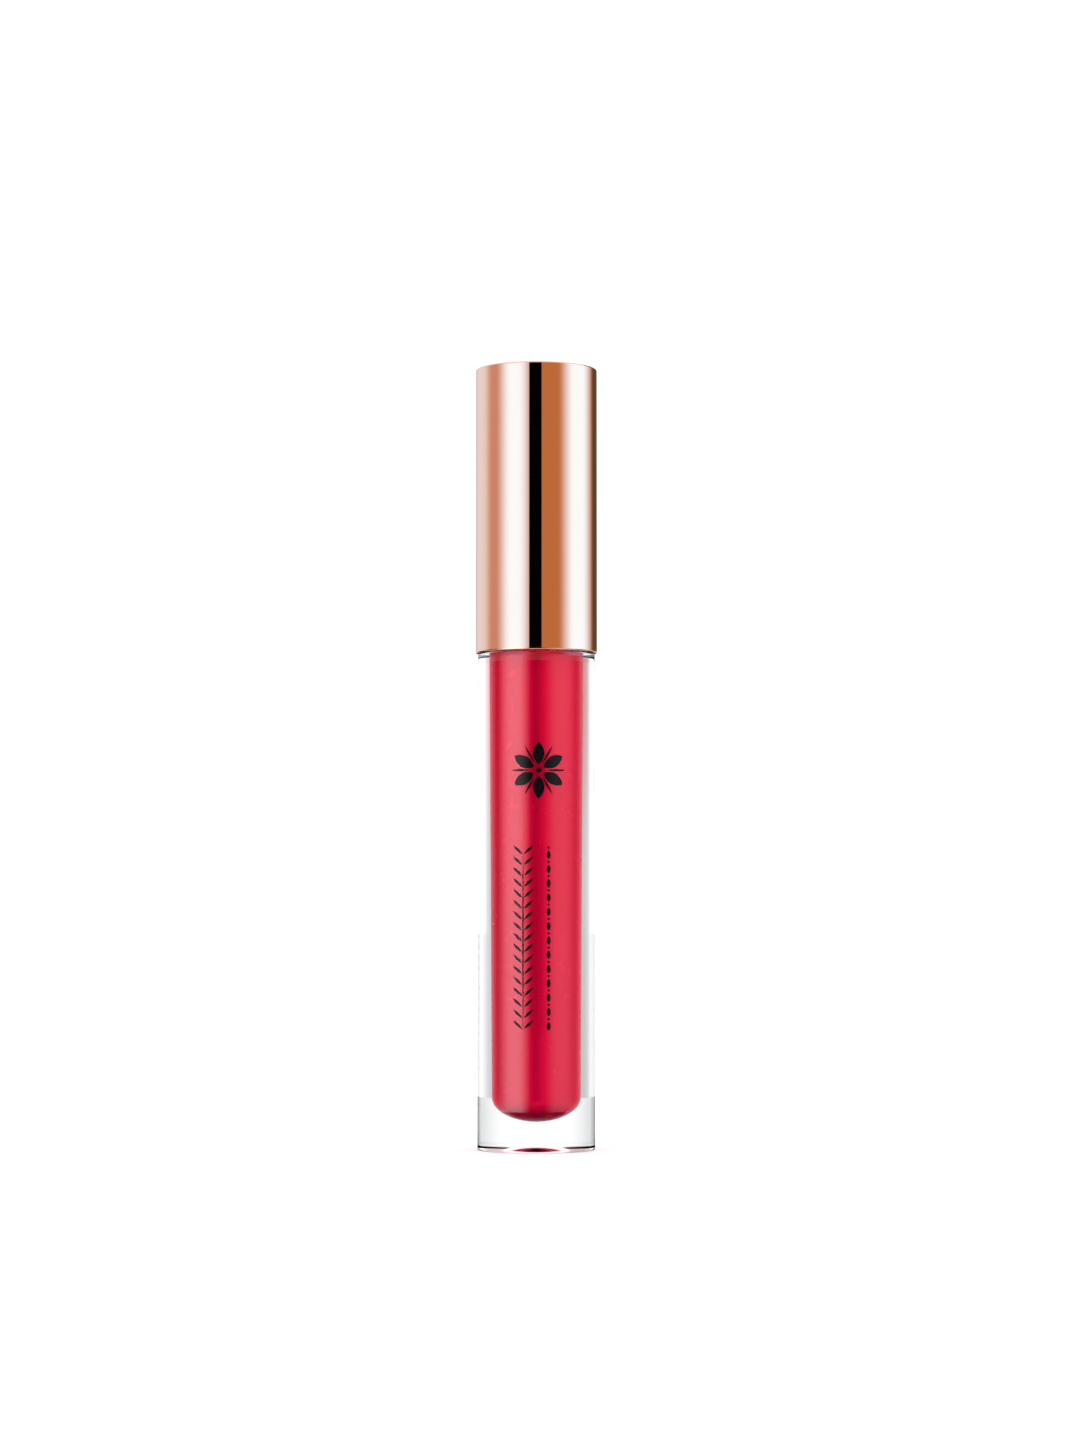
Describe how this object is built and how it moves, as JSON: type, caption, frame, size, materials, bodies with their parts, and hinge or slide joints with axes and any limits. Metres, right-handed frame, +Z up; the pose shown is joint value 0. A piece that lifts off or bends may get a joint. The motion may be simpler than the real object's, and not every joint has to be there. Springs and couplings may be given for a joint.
{
  "type": "lip gloss tube",
  "caption": "Thick-walled clear tube of lip gloss with a tall metallised screw cap that carries the doe-foot wand.",
  "frame": {"origin": "centre of the bottle's base, on the surface that the tube stands on", "axes": "+Z up along the tube's axis, from the base to the cap; the printed front faces -Y"},
  "size_m": [0.0186, 0.0186, 0.1187],
  "materials": {
    "clear_plastic": "clear, polished, thick-walled",
    "lip_gloss": "opaque crimson-pink cream, wet",
    "wiper_plastic": "natural soft polyethylene",
    "washer_foam": "closed-cell foam",
    "rose_gold": "vacuum-metallised rose gold, mirror polish",
    "inner_plastic": "natural polypropylene",
    "weight_steel": "turned, bare",
    "stem_plastic": "smooth natural plastic",
    "flocking": "short nylon flock, soaked with gloss"
  },
  "bodies": {
    "bottle": {"bottle": "clear_plastic", "gloss_fill": "lip_gloss", "wiper": "wiper_plastic"},
    "washer": {"sealing_washer": "washer_foam"},
    "weight": {"cap_weight": "weight_steel"},
    "cap": {"cap_shell": "rose_gold", "inner_cap": "inner_plastic", "stem": "stem_plastic", "tip_core": "inner_plastic", "tip_flock": "flocking"}
  },
  "joints": [
    {"name": "pull_out", "type": "slide", "parent": "bottle", "child": "washer", "axis": [0, 0, 1], "range_m": [0, 0.085]},
    {"name": "cap_rise", "type": "slide", "parent": "washer", "child": "weight", "axis": [0, 0, 1], "range_m": [0, 0.0032]},
    {"name": "cap_twist", "type": "hinge", "parent": "weight", "child": "cap", "pos_m": [0, 0, 0.09], "axis": [0, 0, 1], "range_deg": [0, 540]}
  ],
  "couplings": [
    {"joint": "cap_rise", "follows": "cap_twist", "m_per_rad": 0.00033693}
  ]
}
